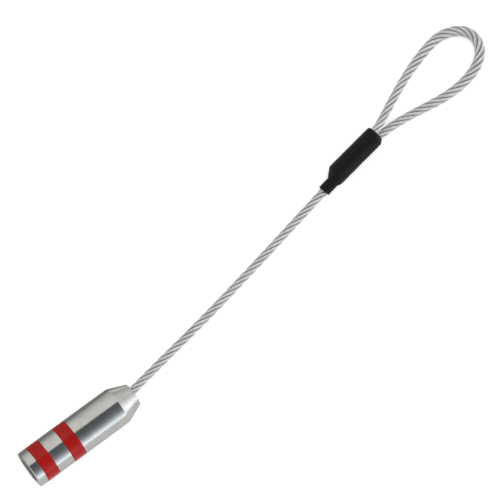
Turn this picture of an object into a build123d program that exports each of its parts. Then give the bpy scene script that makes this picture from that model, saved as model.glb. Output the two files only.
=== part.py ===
"""Reusable wire-pulling grip: a steel socket barrel on a wire-rope lanyard with a swaged pulling eye.

Row frame, in millimetres: the origin is the centre of the barrel's mouth, +X runs along the barrel
towards its nose and the lanyard, +Z is up. The grip lies on its side, on the level z = -barrel_d / 2.
"""
from build123d import *
from math import cos, pi, radians, sin, sqrt, tan
import os

os.makedirs("parts", exist_ok=True)

# ---- Barrel ----
barrel_d = 28.0
barrel_length = 90.0
mouth_round = 0.6            # round on the outer edge of the mouth
bore_d = 17.8                # takes a stripped 350 kcmil conductor, 17.3 mm across
bore_depth = 57.0            # from the mouth to the shoulder that stops the conductor
nose_cone_length = 13.6
nose_d = 17.0                # across the end of the cone
nose_round = 0.8
nose_block_length = 20.0     # solid wall between the stop chamber and the nose's end
nose_hole_d = 12.0           # the rope swivels and tilts in it
nose_hole_round = 1.0
nose_round_cap = 0.4         # the two rounds take at most this share of the lip between them

# ---- Colour bands: rings laid flush in shallow grooves ----
band_width = 10.3
band_thickness = 0.3
band_starts = {"color_band_front": 6.4, "color_band_rear": 29.0}   # nearest edge, from the mouth

# ---- Set screws: 5/16-18 socket set screws, threads drawn as plain cylinders ----
screw_d = 7.94
screw_length = 4.8
screw_clearance = 0.05       # radial, in the tapped hole
screw_socket_af = 3.97
screw_socket_depth = 2.4
screw_edge_chamfer = 0.45
screw_tip_gap = 0.1          # tip to the bore's wall, outside it
screw_cup_d = 4.6
screw_cup_depth = 0.9
tapped_hole_lead = 0.5       # countersink round the hole, where the barrel's surface is lowest
screw_angle = 120.0          # round the barrel, from +Z towards +Y
screw_places = {"set_screw_front": 22.85, "set_screw_rear": 49.0}  # from the mouth

# ---- Stop sleeve: swaged on the rope's end, behind the nose block ----
stop_d = 16.0
stop_length = 12.0
stop_radial_gap = 0.3        # in its chamber
stop_end_gap = 0.3           # to the nose block
stop_chamfer = 0.8
stop_grip = 8.7              # length of rope inside it

# ---- Wire rope, 6.35 mm: the route of its centre line ----
rope_d = 6.35
rope_arc_share = 0.45        # share of the shorter run that each arc takes
rope_points = [
    (61.0, 0.0, 0.0),        # in the stop sleeve
    (77.0, 0.0, 0.0),        # in the nose hole, where it veers and droops
    (108.0, 5.4, -1.3),
    (165.5, 14.6, -3.8),
    (227.5, 26.7, -6.4),
    (299.2, 41.7, -9.6),     # into the ferrule
    (342.6, 48.6, -9.6),     # out of the ferrule, round the eye
    (366.0, 48.2, -10.4),
    (386.5, 44.7, -10.8),
    (408.0, 42.5, -10.8),
    (426.5, 45.2, -10.8),
    (440.0, 53.0, -10.8),
    (445.0, 65.0, -10.8),
    (440.0, 76.5, -10.8),
    (424.5, 82.5, -10.6),
    (406.0, 78.6, -9.7),
    (384.5, 71.2, -7.7),
    (360.5, 59.9, -4.9),
    (343.2, 51.1, -3.6),     # back into the ferrule
    (325.2, 48.4, -3.6),
    (307.4, 45.4, -3.6),     # dead end
]
MAIN_IN, MAIN_OUT, DEAD_OUT = 5, 6, 18                  # places in rope_points

# ---- Ferrule and heat shrink, measured along the ferrule from the rope's entry point ----
ferrule_d = 13.6
ferrule_start = 1.2
ferrule_length = 40.6
ferrule_chamfer = 1.6
ferrule_hole_clearance = 0.05
shrink_wall = 0.6
shrink_body_start = -2.2     # where the neck widens
shrink_shoulder = 4.2        # length of that widening
shrink_neck_length = 10.9
shrink_neck_d = 8.9
shrink_neck_hole_d = 7.0
shrink_neck_offset = 0.35    # the neck stands off the rope on the dead end's side
shrink_lip_length = 2.6      # taper over the ferrule's end, at the eye
shrink_lip_width = 10.0      # across the lip's narrow way

barrel_r = barrel_d / 2
bore_r = bore_d / 2
tapped_hole_r = screw_d / 2 + screw_clearance
countersink_depth = barrel_r - sqrt(barrel_r**2 - tapped_hole_r**2) + tapped_hole_lead
chamber_d = stop_d + 2 * stop_radial_gap
chamber_end = barrel_length - nose_block_length
cone_start = barrel_length - nose_cone_length
nose_lip = (nose_d - nose_hole_d) / 2
nose_corners = [(nose_d / 2, nose_round), (nose_hole_d / 2, nose_hole_round)]


def radial_plane(x, radius):
    """Plane square to the set screws' axis, at x along the barrel and at a radius from its axis."""
    turn = radians(screw_angle)
    outward = Vector(0, sin(turn), cos(turn))
    return Plane(origin=Vector(x, 0, 0) + outward * radius, x_dir=(1, 0, 0), z_dir=outward)


# ---------------------------------------------------------------- barrel
with BuildPart() as barrel:
    with BuildSketch(Plane.XZ) as wall:
        with BuildLine():
            Polyline(
                (0, bore_r),
                (bore_depth, bore_r),
                (bore_depth, chamber_d / 2),
                (chamber_end, chamber_d / 2),
                (chamber_end, nose_hole_d / 2),
                (barrel_length, nose_hole_d / 2),
                (barrel_length, nose_d / 2),
                (cone_start, barrel_r),
                (0, barrel_r),
                close=True,
            )
        make_face()
        corner = wall.vertices().sort_by_distance((0, barrel_r))[0]
        fillet(corner, mouth_round)
        for corner_r, round_r in nose_corners:
            corner = wall.vertices().sort_by_distance((barrel_length, corner_r))[0]
            fillet(corner, min(round_r, nose_round_cap * nose_lip))
    revolve(axis=Axis.X)
    with BuildSketch(Plane.XZ):
        for start in band_starts.values():
            with Locations((start + band_width / 2, barrel_r - band_thickness / 2)):
                Rectangle(band_width, band_thickness)
    revolve(axis=Axis.X, mode=Mode.SUBTRACT)
    for place in screw_places.values():
        with BuildSketch(radial_plane(place, 0)):
            Circle(tapped_hole_r)
        extrude(amount=barrel_d, mode=Mode.SUBTRACT)
        with Locations(radial_plane(place, barrel_r)):
            Cone(
                tapped_hole_r,
                tapped_hole_r + 2 * countersink_depth,
                2 * countersink_depth,
                mode=Mode.SUBTRACT,
            )
barrel.part.label = "barrel"
export_step(barrel.part, "parts/barrel.step")

# ---------------------------------------------------------------- colour bands
for band_name, start in band_starts.items():
    with BuildPart() as band:
        with BuildSketch(Plane.YZ.offset(start)):
            Circle(barrel_r)
            Circle(barrel_r - band_thickness, mode=Mode.SUBTRACT)
        extrude(amount=band_width)
    band.part.label = band_name
    export_step(band.part, f"parts/{band_name}.step")

# ---------------------------------------------------------------- set screws
for screw_name, place in screw_places.items():
    with BuildPart() as screw:
        tip_plane = radial_plane(place, bore_r + screw_tip_gap)
        with BuildSketch(tip_plane):
            Circle(screw_d / 2)
        extrude(amount=screw_length)
        chamfer(screw.edges().filter_by(GeomType.CIRCLE), screw_edge_chamfer)
        with BuildSketch(tip_plane.offset(screw_length)):
            RegularPolygon(screw_socket_af / 2, 6, major_radius=False)
        extrude(amount=-screw_socket_depth, mode=Mode.SUBTRACT)
        with Locations(tip_plane.offset(screw_cup_depth / 2)):
            Cone(screw_cup_d / 2, screw_cup_d / 8, screw_cup_depth, mode=Mode.SUBTRACT)
    screw.part.label = screw_name
    export_step(screw.part, f"parts/{screw_name}.step")

# ---------------------------------------------------------------- stop sleeve
stop_front = chamber_end - stop_end_gap
with BuildPart() as stop_sleeve:
    with BuildSketch(Plane.YZ.offset(stop_front - stop_length)):
        Circle(stop_d / 2)
    extrude(amount=stop_length)
    chamfer(stop_sleeve.edges().filter_by(GeomType.CIRCLE), stop_chamfer)
    with BuildSketch(Plane.YZ.offset(stop_front)):
        Circle(rope_d / 2)
    extrude(amount=-stop_grip, mode=Mode.SUBTRACT)
stop_sleeve.part.label = "stop_sleeve"
export_step(stop_sleeve.part, "parts/stop_sleeve.step")

# ---------------------------------------------------------------- wire rope
corners = [Vector(*point) for point in rope_points]
runs = [after - before for before, after in zip(corners, corners[1:])]
radii = [
    rope_arc_share * min(before.length, after.length) / tan(radians(before.get_angle(after)) / 2)
    for before, after in zip(runs, runs[1:])
]
print("rope arc radii:", [round(radius, 1) for radius in radii])

with BuildPart() as wire_rope:
    with BuildLine() as route:
        FilletPolyline(*corners, radius=radii)
    with BuildSketch(Plane(origin=corners[0], z_dir=runs[0])):
        Circle(rope_d / 2)
    sweep(path=route.wires()[0])
wire_rope.part.label = "wire_rope"
export_step(wire_rope.part, "parts/wire_rope.step")
rope_length = route.wires()[0].length
print("rope length:", round(rope_length, 2))
print("rope volume over section x length:", wire_rope.part.volume / (pi * rope_d**2 / 4 * rope_length))

# ---------------------------------------------------------------- ferrule
# Its frame: Z along it, X from the main leg of the rope to the dead end's leg, origin between them.
leg_axis = (corners[MAIN_OUT] - corners[MAIN_IN]).normalized()
across = corners[DEAD_OUT] - corners[MAIN_IN]
across = across - leg_axis * across.dot(leg_axis)
ferrule_plane = Plane(origin=corners[MAIN_IN] + across / 2, x_dir=across, z_dir=leg_axis)
leg_gap = across.length

with BuildPart() as ferrule:
    with BuildSketch(ferrule_plane.offset(ferrule_start)):
        Circle(ferrule_d / 2)
    extrude(amount=ferrule_length)
    chamfer(ferrule.edges().filter_by(GeomType.CIRCLE), ferrule_chamfer)
    with BuildSketch(ferrule_plane.offset(ferrule_start)):
        SlotCenterToCenter(leg_gap, rope_d + 2 * ferrule_hole_clearance)
    extrude(amount=ferrule_length, mode=Mode.SUBTRACT)
ferrule.part.label = "crimp_ferrule"
export_step(ferrule.part, "parts/crimp_ferrule.step")

# ---------------------------------------------------------------- heat shrink
shrink_r = ferrule_d / 2 + shrink_wall
body_start = shrink_body_start + shrink_shoulder
body_end = ferrule_start + ferrule_length
lip_end = body_end + shrink_lip_length
neck_end = shrink_body_start - shrink_neck_length
lip_long_way = leg_gap + rope_d + 2 * shrink_wall

entry = ferrule_plane.to_local_coords(corners[MAIN_IN])
before_entry = ferrule_plane.to_local_coords(corners[MAIN_IN - 1])
entry_slope = (entry - before_entry) / (entry.Z - before_entry.Z)


def on_main_leg(along):
    """Centre of the main leg before the ferrule, across the ferrule's frame."""
    point = entry + entry_slope * along
    return point.X, point.Y


def off_main_leg(along):
    """Centre of the neck of the heat shrink there."""
    x, y = on_main_leg(along)
    return x + shrink_neck_offset, y


with BuildPart() as heat_shrink:
    with BuildSketch(ferrule_plane.offset(neck_end)):
        with Locations(off_main_leg(neck_end)):
            Circle(shrink_neck_d / 2)
    with BuildSketch(ferrule_plane.offset(shrink_body_start)):
        with Locations(off_main_leg(shrink_body_start)):
            Circle(shrink_neck_d / 2)
    loft()
    with BuildSketch(ferrule_plane.offset(shrink_body_start)):
        with Locations(off_main_leg(shrink_body_start)):
            Circle(shrink_neck_d / 2)
    with BuildSketch(ferrule_plane.offset(body_start)):
        Circle(shrink_r)
    loft()
    with BuildSketch(ferrule_plane.offset(body_start)):
        Circle(shrink_r)
    extrude(amount=body_end - body_start)
    with BuildSketch(ferrule_plane.offset(body_end)):
        Circle(shrink_r)
    with BuildSketch(ferrule_plane.offset(lip_end)):
        Ellipse(lip_long_way / 2, shrink_lip_width / 2)
    loft()
    add(ferrule.part, mode=Mode.SUBTRACT)
    with BuildSketch(ferrule_plane.offset(ferrule_start)):
        SlotCenterToCenter(leg_gap, rope_d + 2 * ferrule_hole_clearance)
    extrude(amount=lip_end - ferrule_start + shrink_lip_length, mode=Mode.SUBTRACT)
    with BuildSketch(ferrule_plane.offset(neck_end)):
        with Locations(off_main_leg(neck_end)):
            Circle(shrink_neck_hole_d / 2)
    with BuildSketch(ferrule_plane.offset(ferrule_start)):
        with Locations(on_main_leg(ferrule_start)):
            Circle(rope_d / 2)
    loft(mode=Mode.SUBTRACT)
heat_shrink.part.label = "heat_shrink_sleeve"
export_step(heat_shrink.part, "parts/heat_shrink_sleeve.step")
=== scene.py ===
"""Looks of a reusable wire-pulling grip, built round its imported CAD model.

Row frame, in metres: the origin is the centre of the barrel's mouth, +X runs along the barrel towards
its nose and the wire rope, +Z is up, and the grip lies on its side on the floor.
"""
from math import ceil, cos, degrees, hypot, pi, radians, sin, sqrt, tan

import bpy
import numpy as np
from mathutils import Matrix, Vector, noise


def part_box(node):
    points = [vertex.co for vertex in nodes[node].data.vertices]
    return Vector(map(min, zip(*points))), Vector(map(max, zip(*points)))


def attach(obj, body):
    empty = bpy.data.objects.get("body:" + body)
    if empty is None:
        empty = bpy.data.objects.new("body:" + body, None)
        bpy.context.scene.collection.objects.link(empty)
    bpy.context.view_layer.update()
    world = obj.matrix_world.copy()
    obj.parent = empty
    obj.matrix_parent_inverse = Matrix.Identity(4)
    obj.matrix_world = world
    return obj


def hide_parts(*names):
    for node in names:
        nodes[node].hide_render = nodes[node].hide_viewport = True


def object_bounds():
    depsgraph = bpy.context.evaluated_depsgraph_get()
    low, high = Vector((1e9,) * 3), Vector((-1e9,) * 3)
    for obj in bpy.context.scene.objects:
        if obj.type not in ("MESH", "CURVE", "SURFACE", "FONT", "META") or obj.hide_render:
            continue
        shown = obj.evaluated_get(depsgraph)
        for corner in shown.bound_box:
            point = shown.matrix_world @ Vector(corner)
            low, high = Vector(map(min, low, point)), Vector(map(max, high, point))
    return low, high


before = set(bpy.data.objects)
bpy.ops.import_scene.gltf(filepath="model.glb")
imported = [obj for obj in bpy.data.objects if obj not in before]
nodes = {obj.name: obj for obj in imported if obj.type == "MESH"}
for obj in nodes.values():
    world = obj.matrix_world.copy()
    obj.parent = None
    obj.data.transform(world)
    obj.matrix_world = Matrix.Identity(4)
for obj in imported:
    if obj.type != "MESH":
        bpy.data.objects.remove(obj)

MM = 0.001
cad_low, cad_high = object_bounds()
scene = bpy.context.scene

# ---- Camera: from above, with a long lens ----
VIEW_AZIMUTH = radians(-37.15)
VIEW_ELEVATION = radians(74.0)
VIEW_DISTANCE = 2.9
VIEW_LENS = 296.85
VIEW_SENSOR = 36.0
AIM_FROM_CENTRE = Vector((-5.68, -1.09)) * MM       # in plan, from the middle of the CAD box

# ---- Studio ----
BRIGHTEST = 1.6                 # of the studio's walls; the ramps hold shares of it
SEEN_BEHIND = 1.1               # what the camera itself sees past the floor
PLAIN, COOL, WARM = (1.0, 1.0, 1.0), (0.93, 1.0, 1.06), (1.0, 0.99, 0.94)
OVERHEAD_STRENGTH = 2.0
OVERHEAD_ANGLE = radians(110)   # across the sky, so that its shadows are soft
OVERHEAD_FROM = Vector((0.15, -0.35, 0.92))
FLOOR_HALF = 30.0
FLOOR_GLOW = 0.35               # lifts the shadows on it
FLOOR_PALE = (0.9, 0.9, 0.9)
FLOOR_PAINTED_SHADE_IN_METAL = (0.60, 0.60, 0.59)                 # painted shade: the floor as the metal mirrors it is painted darker than it is, and painted darker still, as a painted shadow, on the barrel's +Y side
FLOOR_PAINTED_SHADOW_IN_METAL = (0.20, 0.20, 0.19)          # and on the barrel's +Y side
# where that painted shadow in the mirrored floor lies
PAINTED_SHADOW_START = (-10 * MM, 30 * MM)                  # along Y
PAINTED_SHADOW_END = (85 * MM, 120 * MM)                    # along X

# ---- Wire rope: seven strands of nineteen wires, right-hand lay ----
ROPE_D = 6.35 * MM
STRAND_R = 1.0 * MM
OUTER_STRANDS = 6
ROPE_LAY = 42 * MM              # one turn of a strand round the rope
WIRE_LAY = 17 * MM              # one turn of a wire round its strand, the other way
OUTER_WIRES = 12                # in each strand's outer layer
ROPE_STEP = 1 * MM
ROPE_POINTS = [Vector(point) * MM for point in (
    (61.0, 0.0, 0.0),           # in the stop sleeve
    (77.0, 0.0, 0.0),           # in the nose hole, where it veers and droops
    (108.0, 5.4, -1.3),
    (165.5, 14.6, -3.8),
    (227.5, 26.7, -6.4),
    (299.2, 41.7, -9.6),        # into the ferrule
    (342.6, 48.6, -9.6),        # out of the ferrule, round the eye
    (366.0, 48.2, -10.4),
    (386.5, 44.7, -10.8),
    (408.0, 42.5, -10.8),
    (426.5, 45.2, -10.8),
    (440.0, 53.0, -10.8),
    (445.0, 65.0, -10.8),
    (440.0, 76.5, -10.8),
    (424.5, 82.5, -10.6),
    (406.0, 78.6, -9.7),
    (384.5, 71.2, -7.7),
    (360.5, 59.9, -4.9),
    (343.2, 51.1, -3.6),        # back into the ferrule
    (325.2, 48.4, -3.6),
    (307.4, 45.4, -3.6),        # dead end
)]
MAIN_IN, MAIN_OUT, DEAD_OUT = 5, 6, 18              # places in ROPE_POINTS
EYE_SPREAD = 0.28               # the bend opens the rope by this share at the tip of the eye

# ---- Heat shrink, along the ferrule from the rope's entry point ----
SHRINK_WALL = 0.55 * MM
SHRINK_R = 7.4 * MM
NECK_R = 4.35 * MM
NECK_FLARE = 0.1 * MM
NECK_HOLE_R = 3.3 * MM
NECK_OFFSET = 0.35 * MM
NECK_END = -12.1 * MM
SHOULDER_START = (-2.85 * MM, 0.5 * MM)             # middle, and what the -Y side adds to it
SHOULDER_END = (1.25 * MM, -1.85 * MM)
LIP_START = (41.8 * MM, -1.2 * MM)
LIP_END = 43.7 * MM
LIP_HALF = (6.9 * MM, 5.7 * MM)                     # across both legs, and square to that
LIP_SHIFT = -1.1 * MM           # of the lip's middle
LIP_OVERRUN = 0.3 * MM          # the lip would reach its full taper this far past the end
SHRINK_ROUND = 0.6 * MM                             # how far its corners are softened
END_SKEW = 0.9 * MM                                 # its ends are cut a little aslant
END_REACH = 6.0 * MM                                # how far in from an end the slant fades out
EDGE_ROLL = 0.15 * MM
RIPPLE = 0.05 * MM              # over the strands
UNEVEN = 0.09 * MM

# ---- Barrel ----
BARREL_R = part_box("barrel")[1].z
BARREL_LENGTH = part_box("barrel")[1].x
MOUTH_ROUND = 0.6 * MM
MOUTH_EDGE = 0.3 * MM          # edge break at the bore
BORE_R = 8.9 * MM
BORE_DEPTH = 57.0 * MM
CHAMBER_R = 8.3 * MM
CHAMBER_END = 70.0 * MM
NOSE_CONE_LENGTH = 13.6 * MM
NOSE_R = 8.5 * MM
NOSE_ROUND = 0.8 * MM
NOSE_HOLE_R = 6.0 * MM
NOSE_HOLE_ROUND = 1.0 * MM
CONE_ROUND = 3.0 * MM           # where the cone meets the barrel
BARREL_SEGMENTS = 240
BARREL_ROW = 2.5 * MM           # longest step along a straight stretch
BAND_DEPTH = 0.3 * MM
BAND_GAP = 0.1 * MM             # to each side of its groove
BAND_LIFT = 0.01 * MM           # off its groove's floor
BAND_ROUND = 0.12 * MM
BANDS = {"color_band_front": "band_front", "color_band_rear": "band_rear"}

# ---- Set screws: 5/16-18 ----
SCREW_R = 3.97 * MM
SCREW_TIP = 9.0 * MM            # from the barrel's axis
SCREW_HEAD = 13.8 * MM
SCREW_CHAMFER = 0.45 * MM
THREAD_PITCH = 25.4 / 18 * MM
THREAD_DEPTH = 0.6 * MM
TAPPED_R = 4.02 * MM
TAPPED_GROOVE = 0.35 * MM       # thread cut outwards from there
TAPPED_LEAD = 0.5 * MM
SOCKET_R = 3.97 * MM / 2 / cos(radians(30))
SOCKET_DEPTH = 2.4 * MM
SOCKET_EDGE = 0.25 * MM
CUP = ((0.5 * MM, 0.9 * MM), (2.3 * MM, 0.0))       # radius and depth of the cup's floor and rim
SCREW_TURN = radians(120)       # round the barrel, from +Z towards +Y
SCREWS = {"set_screw_front": "screw_front", "set_screw_rear": "screw_rear"}


# ------------------------------------------------------------------ camera, light and floor
def add_camera():
    middle = (cad_low + cad_high) / 2
    aim = Vector((middle.x + AIM_FROM_CENTRE.x, middle.y + AIM_FROM_CENTRE.y, 0))
    back = Vector((
        sin(VIEW_AZIMUTH) * cos(VIEW_ELEVATION),
        -cos(VIEW_AZIMUTH) * cos(VIEW_ELEVATION),
        sin(VIEW_ELEVATION),
    ))
    data = bpy.data.cameras.new("camera")
    data.lens = VIEW_LENS
    data.sensor_width = VIEW_SENSOR
    data.clip_end = 100
    camera = bpy.data.objects.new("camera", data)
    camera.location = aim + back * VIEW_DISTANCE
    camera.rotation_mode = "QUATERNION"
    camera.rotation_quaternion = (-back).to_track_quat("-Z", "Y")
    scene.collection.objects.link(camera)
    scene.camera = camera


def node(tree, kind, inputs=(), **settings):
    """A new shader node. Each input is a value, or a socket to link from."""
    made = tree.nodes.new("ShaderNode" + kind)
    for name, value in settings.items():
        setattr(made, name, value)
    for name, value in dict(inputs).items():
        if isinstance(value, bpy.types.NodeSocket):
            tree.links.new(value, made.inputs[name])
        else:
            made.inputs[name].default_value = value
    return made


def maths(tree, operation, *values):
    made = node(tree, "Math", enumerate(values), operation=operation)
    return made.outputs[0]


def rescale(tree, value, old, new=(0.0, 1.0), smooth=False):
    """Maps old's range of a value to new's, and holds it there at both ends."""
    made = node(
        tree,
        "MapRange",
        {"Value": value, "From Min": old[0], "From Max": old[1], "To Min": new[0], "To Max": new[1]},
        interpolation_type="SMOOTHSTEP" if smooth else "LINEAR",
    )
    return made.outputs["Result"]


def ramp(tree, value, stops):
    """A colour ramp with (position, colour) stops."""
    made = node(tree, "ValToRGB", {"Fac": value})
    elements = made.color_ramp.elements
    while len(elements) < len(stops):
        elements.new(1.0)
    for element, (position, colour) in zip(elements, stops):
        element.position = position
        element.color = (*colour, 1)
    return made.outputs["Color"]


def mix(tree, share, first, second):
    made = node(tree, "Mix", {"Factor": share}, data_type="RGBA")
    for name, value in (("A", first), ("B", second)):
        socket = next(s for s in made.inputs if s.name == name and s.type == "RGBA")
        if isinstance(value, bpy.types.NodeSocket):
            tree.links.new(value, socket)
        else:
            socket.default_value = (*value, 1)
    return next(s for s in made.outputs if s.type == "RGBA")


def tinted(light, tint):
    return tuple(light * share / BRIGHTEST for share in tint)


def add_world():
    """A studio as a function of direction: white walls, a dark ceiling and a warm grey panel on +Y."""
    world = bpy.data.worlds.new("studio")
    scene.world = world
    world.use_nodes = True
    tree = world.node_tree
    tree.nodes.clear()
    direction = node(tree, "TexCoord").outputs["Generated"]
    axes = node(tree, "SeparateXYZ", {"Vector": direction})
    x, y, z = axes.outputs
    room = ramp(tree, z, [(height, tinted(light, COOL)) for height, light in (
        (0.00, 1.25),
        (0.14, 1.50),
        (0.29, 1.12),
        (0.45, 0.72),
        (0.62, 0.40),
        (0.69, 0.31),
        (0.80, 0.22),
        (0.88, 0.17),
        (1.00, 0.11),
    )])
    front = ramp(tree, maths(tree, "MULTIPLY", y, -1.0), [(far, tinted(light, PLAIN)) for far, light in (
        (0.00, 0.70),
        (0.13, 0.80),
        (0.40, 1.16),
        (0.60, 1.55),
        (1.00, 1.20),
    )])
    room = mix(tree, rescale(tree, x, (0.45, 0.60), smooth=True), room, front)
    panel = ramp(tree, z, [(height, tinted(light, WARM)) for height, light in (
        (0.00, 0.40),
        (0.24, 0.62),
        (0.44, 0.71),
        (0.60, 0.78),
        (1.00, 0.84),
    )])
    room = mix(tree, rescale(tree, y, (0.12, 0.16), smooth=True), room, panel)
    seen = node(tree, "LightPath").outputs["Is Camera Ray"]
    colour = mix(tree, seen, room, tinted(SEEN_BEHIND, PLAIN))
    background = node(tree, "Background", {"Color": colour, "Strength": BRIGHTEST})
    output = node(tree, "OutputWorld")
    tree.links.new(background.outputs[0], output.inputs["Surface"])


def add_light():
    """Soft light from overhead and a little from -Y, which polished metal doesn't mirror."""
    data = bpy.data.lights.new("overhead", "SUN")
    data.energy = OVERHEAD_STRENGTH
    data.angle = OVERHEAD_ANGLE
    light = bpy.data.objects.new("overhead", data)
    light.rotation_mode = "QUATERNION"
    light.rotation_quaternion = OVERHEAD_FROM.to_track_quat("Z", "Y")
    light.visible_glossy = False
    scene.collection.objects.link(light)


def add_floor():
    """A white floor, painted grey where the metal mirrors it, and painted darker there on the barrel's
    +Y side as a painted shadow.
    """
    far = FLOOR_HALF
    corners = [(x, y, cad_low.z) for x, y in ((-far, -far), (far, -far), (far, far), (-far, far))]
    mesh = bpy.data.meshes.new("floor")
    mesh.from_pydata(corners, [], [(0, 1, 2, 3)])
    floor = bpy.data.objects.new("floor", mesh)
    made, tree, shader = principled("pale_floor", {"Roughness": 0.8, "Emission Color": (1, 1, 1, 1)})
    place = node(tree, "SeparateXYZ", {"Vector": node(tree, "NewGeometry").outputs["Position"]})
    # painted shadow: the metal mirrors the floor darker than it is, and darker still near the barrel's
    # +Y side
    beside = rescale(tree, place.outputs["Y"], PAINTED_SHADOW_START, smooth=True)
    before_rope = rescale(tree, place.outputs["X"], PAINTED_SHADOW_END, (1.0, 0.0), smooth=True)
    painted_shadow = maths(tree, "MULTIPLY", beside, before_rope)
    painted_shade_in_metal = mix(tree, painted_shadow, FLOOR_PAINTED_SHADE_IN_METAL, FLOOR_PAINTED_SHADOW_IN_METAL)
    in_metal = node(tree, "LightPath").outputs["Is Glossy Ray"]
    tree.links.new(mix(tree, in_metal, FLOOR_PALE, painted_shade_in_metal), shader.inputs["Base Color"])
    glow = rescale(tree, in_metal, (0, 1), (FLOOR_GLOW, 0))
    tree.links.new(glow, shader.inputs["Emission Strength"])
    mesh.materials.append(made)
    scene.collection.objects.link(floor)


# ------------------------------------------------------------------ materials
def principled(name, values):
    """A material with these values on its Principled shader's own sockets."""
    made = bpy.data.materials.new(name)
    made.use_nodes = True
    tree = made.node_tree
    shader = tree.nodes["Principled BSDF"]
    for socket, value in values.items():
        shader.inputs[socket].default_value = value
    return made, tree, shader


def speckle(tree, scale, stretch=(1, 1, 1)):
    """Noise with features 1/scale metres across, longer where stretch is smaller."""
    place = node(tree, "TexCoord").outputs["Object"]
    stretched = node(tree, "Mapping", {"Vector": place, "Scale": stretch})
    made = node(tree, "TexNoise", {"Vector": stretched.outputs[0], "Scale": scale, "Detail": 3.0})
    return made.outputs["Fac"]


def bump(tree, shader, layers):
    """Stacks (height socket, depth in metres) layers on the shader's normal."""
    previous = None
    for height, depth in layers:
        inputs = {"Height": height, "Distance": depth, "Strength": 1.0}
        if previous:
            inputs["Normal"] = previous
        previous = node(tree, "Bump", inputs).outputs["Normal"]
    tree.links.new(previous, shader.inputs["Normal"])


def steel(name, dark, light, roughness, line_depth, metallic=1.0):
    """Turned metal: fine lines round X, cloudy colour and gloss."""
    made, tree, shader = principled(name, {"Metallic": metallic})
    cloud = speckle(tree, 120)
    tree.links.new(ramp(tree, cloud, ((0.35, dark), (0.65, light))), shader.inputs["Base Color"])
    smear = speckle(tree, 60, (6, 1, 1))
    tree.links.new(rescale(tree, smear, (0.3, 0.7), roughness), shader.inputs["Roughness"])
    lines = speckle(tree, 40, (70, 1, 1))
    scuffs = speckle(tree, 900)
    bump(tree, shader, ((lines, line_depth), (scuffs, line_depth / 3)))
    return made


def band_enamel():
    made, tree, shader = principled("red_enamel", {"Roughness": 0.2, "IOR": 1.35})
    cloud = speckle(tree, 250)
    colours = ramp(tree, cloud, ((0.3, (0.26, 0.002, 0.0005)), (0.7, (0.31, 0.003, 0.0008))))
    tree.links.new(colours, shader.inputs["Base Color"])
    bump(tree, shader, ((speckle(tree, 700), 0.006 * MM),))
    return made


def black_oxide():
    made, tree, shader = principled("black_oxide", {"Metallic": 0.7})
    cloud = speckle(tree, 500)
    colours = ramp(tree, cloud, ((0.3, (0.02, 0.02, 0.022)), (0.75, (0.07, 0.068, 0.065))))
    tree.links.new(colours, shader.inputs["Base Color"])
    tree.links.new(rescale(tree, cloud, (0.3, 0.7), (0.3, 0.5)), shader.inputs["Roughness"])
    bump(tree, shader, ((speckle(tree, 3000), 0.01 * MM),))
    return made


def galvanised_wire():
    made, tree, shader = principled("galvanised_wire", {"Metallic": 0.85, "IOR": 1.5})
    cloud = speckle(tree, 180)
    colours = ramp(tree, cloud, ((0.3, (0.76, 0.76, 0.76)), (0.7, (0.90, 0.90, 0.89))))
    # painted shade: the wires are painted dark grey where they lie near the rope's middle, in the
    # valleys between strands
    reach = node(tree, "Attribute", attribute_name="reach").outputs["Fac"]
    out_of_painted_shade = rescale(tree, reach, (0.34 * ROPE_D, 0.47 * ROPE_D), smooth=True)
    tree.links.new(mix(tree, out_of_painted_shade, (0.32, 0.32, 0.32), colours), shader.inputs["Base Color"])
    grain = speckle(tree, 2500)
    tree.links.new(rescale(tree, grain, (0.3, 0.7), (0.20, 0.36)), shader.inputs["Roughness"])
    bump(tree, shader, ((grain, 0.01 * MM),))
    return made


def heat_shrink():
    made, tree, shader = principled("heat_shrink_black", {"IOR": 1.3})
    cloud = speckle(tree, 220)
    colours = ramp(tree, cloud, ((0.3, (0.002, 0.002, 0.0025)), (0.7, (0.004, 0.004, 0.0048))))
    tree.links.new(colours, shader.inputs["Base Color"])
    mottle = speckle(tree, 900)
    tree.links.new(rescale(tree, mottle, (0.3, 0.7), (0.42, 0.62)), shader.inputs["Roughness"])
    bump(tree, shader, ((speckle(tree, 350), 0.05 * MM), (mottle, 0.03 * MM)))
    return made


# ------------------------------------------------------------------ mesh helpers
def skin(name, rings, material=None, closed=False):
    """An object through rings of points. The last joins the first, or both ends get a cap."""
    count = len(rings[0])
    spans = len(rings) if closed else len(rings) - 1
    faces = []
    for ring in range(spans):
        near, far = ring * count, (ring + 1) % len(rings) * count
        for at in range(count):
            after = (at + 1) % count
            faces.append((near + at, near + after, far + after, far + at))
    if not closed:
        faces.append(tuple(reversed(range(count))))
        faces.append(tuple(range((len(rings) - 1) * count, len(rings) * count)))
    mesh = bpy.data.meshes.new(name)
    mesh.from_pydata([tuple(point) for ring in rings for point in ring], [], faces)
    if material:
        mesh.materials.append(material)
    made = bpy.data.objects.new(name, mesh)
    scene.collection.objects.link(made)
    return made


def shade(piece, sharp_angle):
    piece.data.shade_smooth()
    piece.data.set_sharp_from_angle(angle=radians(sharp_angle))


def cut(target, tool):
    """Cuts tool out of target's mesh, and removes tool."""
    modifier = target.modifiers.new("cut", "BOOLEAN")
    modifier.operation = "DIFFERENCE"
    modifier.object = tool
    modifier.solver = "EXACT"
    evaluated = target.evaluated_get(bpy.context.evaluated_depsgraph_get())
    mesh = bpy.data.meshes.new_from_object(evaluated)
    target.modifiers.clear()
    target.data = mesh
    bpy.data.objects.remove(tool)


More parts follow.
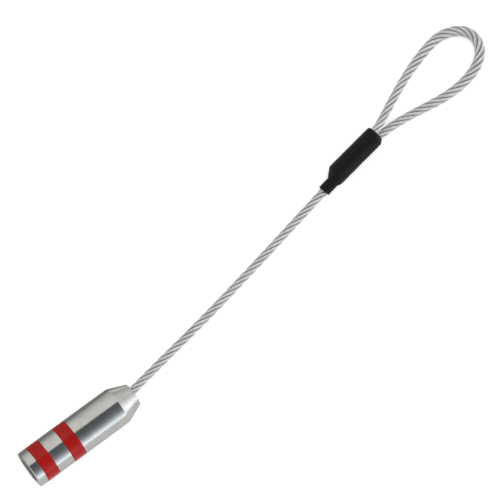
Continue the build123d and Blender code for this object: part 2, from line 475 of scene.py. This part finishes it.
def rounded(corners, step):
    """Closed outline through (x, r, radius) corners, as arcs and straight rows no longer than step."""
    outline = []
    count = len(corners)
    for place, (x, r, radius) in enumerate(corners):
        corner = Vector((x, r))
        before = Vector(corners[place - 1][:2]) - corner
        after = Vector(corners[(place + 1) % count][:2]) - corner
        if radius:
            half = before.angle(after) / 2
            before.normalize()
            after.normalize()
            centre = corner + (before + after).normalized() * radius / sin(half)
            start = corner + before * radius / tan(half) - centre
            end = corner + after * radius / tan(half) - centre
            turn = start.angle_signed(end)
            pieces = max(3, ceil(abs(degrees(turn)) / 9))
            for piece in range(pieces + 1):
                outline.append(centre + Matrix.Rotation(-turn * piece / pieces, 2) @ start)
        else:
            outline.append(corner)
    rows = []
    for here, there in zip(outline, outline[1:] + outline[:1]):
        parts = max(1, ceil((there - here).length / step))
        rows += [here.lerp(there, part / parts) for part in range(parts)]
    return rows


def lathe(name, corners, material, segments, step):
    """A solid of revolution about X from the closed outline of (x, r, radius) corners."""
    rings = []
    for x, r in rounded(corners, step):
        angles = [2 * pi * at / segments for at in range(segments)]
        rings.append([(x, r * sin(angle), r * cos(angle)) for angle in angles])
    return skin(name, rings, material, closed=True)


# ------------------------------------------------------------------ wire rope
def route_line(step):
    """Points at even steps along the NURBS spline whose control points are the rope's route."""
    curve = bpy.data.curves.new("route", "CURVE")
    curve.dimensions = "3D"
    curve.resolution_u = 32
    spline = curve.splines.new("NURBS")
    spline.points.add(len(ROPE_POINTS) - 1)
    for knot, point in zip(spline.points, ROPE_POINTS):
        knot.co = (*point, 1)
    spline.order_u = 3
    spline.use_endpoint_u = True
    route = bpy.data.objects.new("route", curve)
    line = np.array([v.co for v in bpy.data.meshes.new_from_object(route).vertices])
    bpy.data.objects.remove(route)
    along = np.concatenate(([0], np.cumsum(np.linalg.norm(np.diff(line, axis=0), axis=1))))
    even = np.linspace(0, along[-1], round(along[-1] / step) + 1)
    return even, np.stack([np.interp(even, along, line[:, axis]) for axis in range(3)], axis=1)


def frames_along(line):
    """Two normals at each point of a line, carried along it without twist."""
    forwards = np.gradient(line, axis=0)
    forwards /= np.linalg.norm(forwards, axis=1)[:, None]
    first = np.empty_like(line)
    carried = np.cross(forwards[0], (0.0, 1.0, 0.0))
    for place, way in enumerate(forwards):
        carried = carried - way * (carried @ way)
        carried /= np.linalg.norm(carried)
        first[place] = carried
    return first, np.cross(forwards, first)


def circling(line, along, radius, lay, phase):
    """A line that winds round another."""
    first, second = frames_along(line)
    turn = 2 * pi * along / lay + phase
    return line + radius * (np.cos(turn)[:, None] * first + np.sin(turn)[:, None] * second)


def wire_radius(angle):
    """Outer radius of a strand's ring of round wires, at an angle from the middle of a wire."""
    share = sin(pi / OUTER_WIRES)
    wire = STRAND_R * share / (1 + share)
    ring = STRAND_R - wire
    return ring * cos(angle) + sqrt(max(wire**2 - (ring * sin(angle)) ** 2, 0))


def opened(line, along):
    """How many times wider than high the rope is at each place."""
    ends = [np.array(ROPE_POINTS[at]) for at in (MAIN_OUT, DEAD_OUT)]
    start, end = (along[np.linalg.norm(line - point, axis=1).argmin()] for point in ends)
    share = np.clip((along - start) / (end - start), 0, 1)
    return 1 + EYE_SPREAD * np.sin(pi * share) ** 2


def strand(name, line, rope_line, along, material, points_per_wire):
    """One strand, whose vertices hold their distance from the middle of the rope, which sets the painted
    shade in its valleys.
    """
    first, second = frames_along(line)
    count = OUTER_WIRES * points_per_wire
    angles = 2 * pi * np.arange(count) / count
    half = pi / OUTER_WIRES
    radii = np.array([wire_radius((angle + half) % (2 * half) - half) for angle in angles])
    rings = []
    for centre, a, b, distance in zip(line, first, second, along):
        twist = angles - 2 * pi * distance / WIRE_LAY
        rings.append(centre + np.outer(radii * np.cos(twist), a) + np.outer(radii * np.sin(twist), b))
    offsets = np.array(rings) - rope_line[:, None]
    reach = np.linalg.norm(offsets, axis=2)
    sideways = np.cross(np.gradient(rope_line, axis=0), (0, 0, 1))
    sideways /= np.linalg.norm(sideways, axis=1)[:, None]
    spread = (opened(rope_line, along) - 1)[:, None] * np.einsum("rvk,rk->rv", offsets, sideways)
    offsets += spread[:, :, None] * sideways[:, None]
    made = skin(name, rope_line[:, None] + offsets, material)
    made.data.attributes.new("reach", "FLOAT", "POINT").data.foreach_set("value", reach.ravel())
    shade(made, 100)
    return made


def build_rope(material):
    """The strands, and the rope's centre line."""
    along, line = route_line(ROPE_STEP)
    helix = ROPE_D / 2 - STRAND_R
    strands = []
    for number in range(OUTER_STRANDS):
        winding = circling(line, along, helix, ROPE_LAY, 2 * pi * number / OUTER_STRANDS)
        strands.append(strand(f"rope_strand_{number + 1}", winding, line, along, material, 4))
    core = strand("rope_core_strand", line[::2], line[::2], along[::2], material, 2)
    for piece in [*strands, core]:
        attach(piece, "lanyard")
    return strands, core, line


# ------------------------------------------------------------------ heat shrink
def ferrule_frame():
    """Matrix of the ferrule's frame: Z along it, X from the rope's main leg to its dead end."""
    entry = ROPE_POINTS[MAIN_IN]
    along = (ROPE_POINTS[MAIN_OUT] - entry).normalized()
    across = ROPE_POINTS[DEAD_OUT] - entry
    across -= along * across.dot(along)
    x_way = across.normalized()
    axes = Matrix((x_way, along.cross(x_way), along)).transposed()
    return Matrix.Translation(entry + across / 2) @ axes.to_4x4()


def softened(value, low, high, width):
    """A straight ramp from 0 at low to 1 at high, with its corners rounded over a width."""
    samples = [value + width * (part / 8 - 0.5) for part in range(9)]
    return sum(min(max((s - low) / (high - low), 0), 1) for s in samples) / len(samples)


def shrink_ring(place, line, inset, segments=96):
    """Ring of the heat shrink at a place along the ferrule, inside its outer face by inset."""
    neck_x, neck_y = (float(np.interp(place, line[:, 2], line[:, axis])) for axis in range(2))
    flare = NECK_FLARE * softened(-place, -NECK_END - 3 * MM, -NECK_END, MM)
    near_neck = 1 - softened(place, NECK_END, NECK_END + END_REACH, MM)
    near_lip = softened(place, LIP_END - END_REACH, LIP_END, MM)
    slant = END_SKEW * (near_neck + near_lip)
    ring = []
    for at in range(segments):
        angle = 2 * pi * at / segments
        side = sin(angle)
        grown = softened(
            place,
            SHOULDER_START[0] + SHOULDER_START[1] * side,
            SHOULDER_END[0] + SHOULDER_END[1] * side,
            SHRINK_ROUND,
        )
        lip_start = LIP_START[0] + LIP_START[1] * side
        shrunk = softened(place, lip_start, LIP_END + LIP_OVERRUN, SHRINK_ROUND)
        if inset:
            neck = Vector((neck_x, neck_y)) + NECK_HOLE_R * Vector((cos(angle), side))
        else:
            ripple = RIPPLE * cos(OUTER_STRANDS * (angle - 2 * pi * place / ROPE_LAY))
            reach = NECK_R + flare + ripple
            neck = Vector((neck_x + NECK_OFFSET, neck_y)) + reach * Vector((cos(angle), side))
        body = (SHRINK_R - inset) * Vector((cos(angle), side))
        lip = Vector(((LIP_HALF[0] - inset) * cos(angle), LIP_SHIFT + (LIP_HALF[1] - inset) * side))
        flat = neck.lerp(body, grown).lerp(lip, shrunk)
        uneven = noise.noise(Vector((flat.x, flat.y, place)) * 160) * UNEVEN
        flat += flat.normalized() * uneven
        ring.append((flat.x, flat.y, place - slant * cos(angle)))
    return ring


def build_heat_shrink(line, material):
    to_row = ferrule_frame()
    local = np.array([to_row.inverted() @ Vector(point) for point in line])
    entering = local[: int(np.argmax(local[:, 2] > LIP_END))]
    rows = int((LIP_END - NECK_END) / (0.5 * MM))
    places = [NECK_END + (LIP_END - NECK_END) * row / rows for row in range(rows + 1)]
    outer = [shrink_ring(place, entering, 0) for place in places]
    inner = [shrink_ring(place, entering, SHRINK_WALL) for place in places]
    rolled = []
    for end, way in ((-1, 1), (0, -1)):
        pairs = zip(outer[end], inner[end])
        rolled.append([
            ((a[0] + b[0]) / 2, (a[1] + b[1]) / 2, a[2] + EDGE_ROLL * way) for a, b in pairs
        ])
    rings = outer + [rolled[0]] + inner[::-1] + [rolled[1]]
    rings = [[to_row @ Vector(point) for point in ring] for ring in rings]
    made = skin("heat_shrink", rings, material, closed=True)
    shade(made, 60)
    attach(made, "lanyard")
    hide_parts("heat_shrink_sleeve")
    return made


# ------------------------------------------------------------------ barrel and bands
def screw_frame(name):
    """Matrix of a set screw's frame: Z outwards from the barrel's axis, X along the barrel."""
    low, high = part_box(name)
    outward = Vector((0, sin(SCREW_TURN), cos(SCREW_TURN)))
    forward = Vector((1, 0, 0))
    axes = Matrix((forward, outward.cross(forward), outward)).transposed()
    return Matrix.Translation(((low.x + high.x) / 2, 0, 0)) @ axes.to_4x4()


def thread_share(height, angle):
    """How far a 60-degree thread stands out, from 0 at its root to 1 at its crest."""
    phase = (height / THREAD_PITCH - angle / (2 * pi)) % 1.0
    return min(max((abs(phase - 0.5) - 0.07) / 0.36, 0), 1)


def turned(name, to_row, low, high, radius, row=0.07 * MM, segments=72, material=None):
    """A solid about a frame's Z from low to high, with a radius for each height and angle."""
    rows = max(1, round((high - low) / row))
    heights = [low + (high - low) * at / rows for at in range(rows + 1)]
    angles = [2 * pi * at / segments for at in range(segments)]
    rings = []
    for height in heights:
        reach = [radius(height, angle) for angle in angles]
        rings.append([
            to_row @ Vector((r * cos(angle), r * sin(angle), height)) for r, angle in zip(reach, angles)
        ])
    return skin(name, rings, material)


def tapped_radius(height, angle):
    countersink = sqrt(BARREL_R**2 - TAPPED_R**2) - TAPPED_LEAD
    threaded = TAPPED_R + TAPPED_GROOVE * (1 - thread_share(height, angle))
    return max(TAPPED_R + height - countersink, threaded)


def build_barrel(material, bored):
    mouth_lip = BORE_R + MOUTH_EDGE
    cone_start = BARREL_LENGTH - NOSE_CONE_LENGTH
    grooves = []
    for name in reversed(BANDS):
        low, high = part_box(name)
        floor_r = BARREL_R - BAND_DEPTH
        grooves += [
            (high.x, BARREL_R, 0),
            (high.x, floor_r, 0),
            (low.x, floor_r, 0),
            (low.x, BARREL_R, 0),
        ]
    corners = [
        (MOUTH_EDGE, BORE_R, 0),
        (BORE_DEPTH, BORE_R, 0),
        (BORE_DEPTH, CHAMBER_R, 0),
        (CHAMBER_END, CHAMBER_R, 0),
        (CHAMBER_END, NOSE_HOLE_R, 0),
        (BARREL_LENGTH, NOSE_HOLE_R, NOSE_HOLE_ROUND),
        (BARREL_LENGTH, NOSE_R, NOSE_ROUND),
        (cone_start, BARREL_R, CONE_ROUND),
        *grooves,
        (0, BARREL_R, MOUTH_ROUND),
        (0, mouth_lip, 0),
    ]
    barrel = lathe("barrel_body", corners, material, BARREL_SEGMENTS, BARREL_ROW)
    for name in SCREWS:
        cutter = turned("cutter", screw_frame(name), BORE_R * 0.7, BARREL_R + 2 * MM, tapped_radius)
        cut(barrel, cutter)
    barrel.data.materials.append(bored)
    for face in barrel.data.polygons:
        inwards = face.normal.y * face.center.y + face.normal.z * face.center.z < 0
        if inwards and hypot(face.center.y, face.center.z) < mouth_lip:
            face.material_index = 1
    shade(barrel, 30)
    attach(barrel, "barrel")
    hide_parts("barrel")


def build_bands(material):
    for cad_name, name in BANDS.items():
        low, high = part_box(cad_name)
        start, end = low.x + BAND_GAP, high.x - BAND_GAP
        inner = BARREL_R - BAND_DEPTH + BAND_LIFT
        corners = [
            (start, inner, 0),
            (end, inner, 0),
            (end, BARREL_R, BAND_ROUND),
            (start, BARREL_R, BAND_ROUND),
        ]
        band = lathe(name, corners, material, BARREL_SEGMENTS, BARREL_ROW)
        shade(band, 50)
        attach(band, "barrel")
        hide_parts(cad_name)


# ------------------------------------------------------------------ set screws
def screw_radius(height, angle):
    from_end = min(height - SCREW_TIP, SCREW_HEAD - height)
    chamfered = SCREW_R - max(SCREW_CHAMFER - from_end, 0)
    return min(chamfered, SCREW_R - THREAD_DEPTH * (1 - thread_share(height, angle)))


def build_screws(material):
    for name, body in SCREWS.items():
        to_row = screw_frame(name)
        screw = turned(
            f"{body}_threaded", to_row, SCREW_TIP, SCREW_HEAD, screw_radius, material=material
        )
        floor = SCREW_HEAD - SOCKET_DEPTH
        above = SCREW_HEAD + MM
        socket = turned("socket", to_row, floor, above, lambda h, a: SOCKET_R, row=4 * MM, segments=6)
        cut(screw, socket)
        edge = turned(
            "edge", to_row, SCREW_HEAD - SOCKET_EDGE, above,
            lambda h, a: SOCKET_R + h - SCREW_HEAD, row=4 * MM, segments=48,
        )
        cut(screw, edge)
        (floor_r, depth), (rim_r, _) = CUP
        cup = turned(
            "cup", to_row, SCREW_TIP - MM, SCREW_TIP + depth,
            lambda h, a: rim_r + (floor_r - rim_r) * (h - SCREW_TIP) / depth, row=4 * MM, segments=48,
        )
        cut(screw, cup)
        shade(screw, 35)
        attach(screw, body)
        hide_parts(name)


# ------------------------------------------------------------------ the whole
def dress(name, material):
    """Gives a CAD node that stays as it is its material."""
    for place in nodes[name].material_slots:
        place.material = material


scene.view_settings.view_transform = "Standard"
add_camera()
add_world()
add_light()
add_floor()

rope_strands, rope_core, rope_line = build_rope(galvanised_wire())
shrink = build_heat_shrink(rope_line, heat_shrink())
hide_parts("wire_rope")

bright = steel("plated_steel", (0.59, 0.59, 0.58), (0.67, 0.66, 0.65), (0.10, 0.20), 0.012 * MM)
dull = steel(
    "bored_steel", (0.40, 0.40, 0.39), (0.52, 0.51, 0.50), (0.30, 0.45), 0.03 * MM, metallic=0.95
)
build_barrel(bright, dull)
build_bands(band_enamel())
build_screws(black_oxide())
sleeve = steel("sleeve_steel", (0.45, 0.45, 0.45), (0.60, 0.59, 0.58), (0.25, 0.40), 0.03 * MM)
dress("stop_sleeve", sleeve)
ferrule = steel("ferrule_aluminium", (0.62, 0.62, 0.63), (0.76, 0.76, 0.77), (0.3, 0.45), 0.03 * MM)
dress("crimp_ferrule", ferrule)
